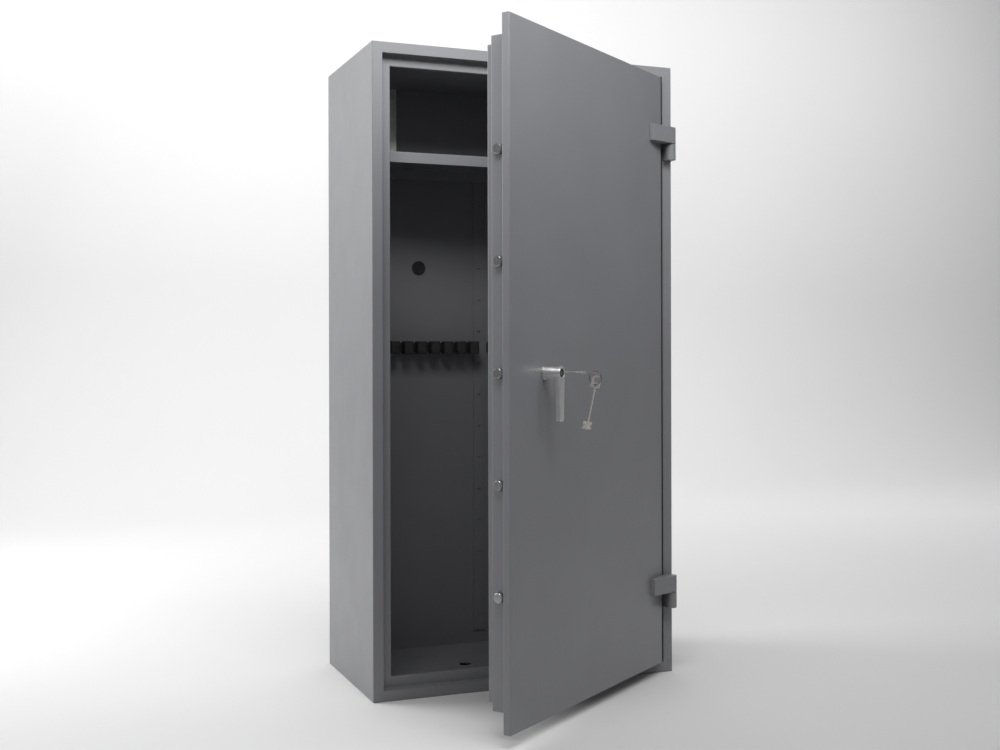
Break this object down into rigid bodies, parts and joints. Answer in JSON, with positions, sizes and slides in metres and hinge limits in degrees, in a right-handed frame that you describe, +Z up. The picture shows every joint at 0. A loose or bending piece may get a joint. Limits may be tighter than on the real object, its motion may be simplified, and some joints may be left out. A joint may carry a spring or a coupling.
{
  "type": "gun safe",
  "caption": "Tall double-walled steel gun safe with a rebated door on outside lift-off hinges, side locking bolts, lever handle, keyed lock, shelf and barrel rack.",
  "frame": {"origin": "centre of the cabinet's underside", "axes": "+X to the cabinet's right seen from the front, +Y to its back, +Z up"},
  "size_m": [0.771, 0.8346, 1.5],
  "materials": {
    "cabinet_paint": "semi-gloss graphite grey powder coat",
    "interior_paint": "satin graphite grey paint",
    "zinc_plate": "dull zinc plate",
    "bright_steel": "turned bright steel",
    "satin_metal": "satin with polished edges",
    "nickel_plate": "nickel-plated stamped key",
    "black_plastic": "matt black",
    "black_rubber": "matt soft rubber",
    "bearing_brass": "plain machined"
  },
  "bodies": {
    "cabinet": {"outer_side_left": "cabinet_paint", "outer_side_right": "cabinet_paint", "outer_top": "cabinet_paint", "outer_bottom": "cabinet_paint", "outer_back": "cabinet_paint", "frame_jamb_left": "cabinet_paint", "frame_jamb_right": "cabinet_paint", "frame_head": "cabinet_paint", "frame_sill": "cabinet_paint", "liner_side_left": "interior_paint", "liner_side_right": "interior_paint", "liner_ceiling": "interior_paint", "liner_floor": "interior_paint", "liner_back": "interior_paint", "wall_stiffeners": "zinc_plate", "hinge_knuckles": "cabinet_paint", "hinge_pins": "bright_steel", "hinge_washers": "bearing_brass", "shelf": "cabinet_paint", "shelf_brackets": "interior_paint", "shelf_straps": "zinc_plate", "rack_upright": "interior_paint", "rack_rail_left": "black_plastic", "rack_rail_right": "black_plastic", "rack_pads": "black_rubber", "wall_anchor_plugs": "black_plastic"},
    "door": {"door_skin": "cabinet_paint", "door_backing_frame": "cabinet_paint", "bolt_box": "cabinet_paint", "inner_cover": "cabinet_paint", "cover_screws": "zinc_plate", "hinge_straps": "cabinet_paint", "dog_bar": "bright_steel", "hard_plate": "bright_steel", "lock_case": "zinc_plate", "lock_cover": "zinc_plate", "lock_screws": "bright_steel", "key_escutcheon": "satin_metal", "handle_bush": "zinc_plate", "spindle_bridge": "zinc_plate", "guide_posts": "bright_steel"},
    "handle": {"handle_lever": "satin_metal", "handle_spindle": "bright_steel", "drive_pinion": "bright_steel", "hub_insert": "black_plastic", "hub_screw": "bright_steel"},
    "boltwork": {"bolt_bar": "zinc_plate", "locking_bolts": "bright_steel", "bolt_nuts": "zinc_plate", "drive_rack": "zinc_plate", "slotted_arms": "zinc_plate", "stop_stud": "bright_steel"},
    "lock_bolt": {"lock_bolt": "bright_steel"},
    "key": {"key": "nickel_plate"},
    "key_ring": {"key_ring": "bright_steel"},
    "spare_key": {"spare_key": "nickel_plate"}
  },
  "joints": [
    {"name": "door_swing", "type": "hinge", "parent": "cabinet", "child": "door", "pos_m": [0.373, -0.218, 0.75], "axis": [0, 0, 1], "range_deg": [-36.2, 143.8]},
    {"name": "handle_turn", "type": "hinge", "parent": "door", "child": "handle", "pos_m": [-0.11616, -0.5537, 0.75], "axis": [-0.5906, 0.807, 0], "range_deg": [0, 90]},
    {"name": "bolts_slide", "type": "slide", "parent": "door", "child": "boltwork", "axis": [-0.807, -0.5906, 0], "range_m": [0, 0.0201]},
    {"name": "key_turn", "type": "hinge", "parent": "door", "child": "key", "pos_m": [-0.05967, -0.51236, 0.75], "axis": [0.5906, -0.807, 0], "range_deg": [0, 90]},
    {"name": "lock_slide", "type": "slide", "parent": "door", "child": "lock_bolt", "axis": [0, 0, -1], "range_m": [0, 0.01205]},
    {"name": "ring_swing", "type": "hinge", "parent": "key", "child": "key_ring", "pos_m": [-0.01095, -0.57894, 0.75], "axis": [-0.807, -0.5906, 0], "range_deg": [-9, 9]},
    {"name": "spare_key_swing", "type": "hinge", "parent": "key_ring", "child": "spare_key", "pos_m": [-0.01095, -0.57894, 0.7248], "axis": [0.5906, -0.807, 0], "range_deg": [-8, 8]}
  ],
  "couplings": [
    {"joint": "bolts_slide", "follows": "handle_turn", "m_per_rad": 0.01275},
    {"joint": "lock_slide", "follows": "key_turn", "m_per_rad": 0.0076394}
  ]
}
